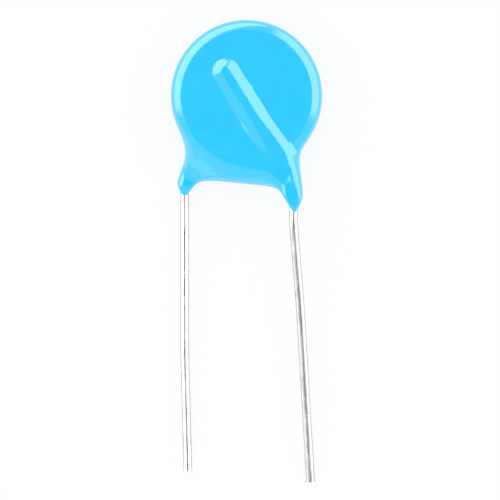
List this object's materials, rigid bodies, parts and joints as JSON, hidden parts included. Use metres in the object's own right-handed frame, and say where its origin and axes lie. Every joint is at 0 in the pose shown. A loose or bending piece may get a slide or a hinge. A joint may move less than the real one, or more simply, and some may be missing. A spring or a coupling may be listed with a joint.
{
  "type": "varistor",
  "caption": "Flat disc varistor under a glossy sky-blue dipped coating, with two crossed tinned wire leads leaving on one side.",
  "frame": {"origin": "middle of the footprint, on the surface that the part lies on", "axes": "+Z out of the front face of the disc, +Y from the lead tips towards the disc, +X to the right seen from the front with the leads down"},
  "size_m": [0.014, 0.0426, 0.0043],
  "materials": {
    "coating": "glossy dipped epoxy",
    "ceramic": "matte sintered",
    "silver": "matte fired silver",
    "solder": "dull solder",
    "tinned_wire": "bright tinned"
  },
  "bodies": {
    "root": {"coating": "coating", "ceramic_disc": "ceramic", "front_electrode": "silver", "rear_electrode": "silver", "front_solder": "solder", "rear_solder": "solder", "front_lead": "tinned_wire", "rear_lead": "tinned_wire"}
  },
  "joints": []
}
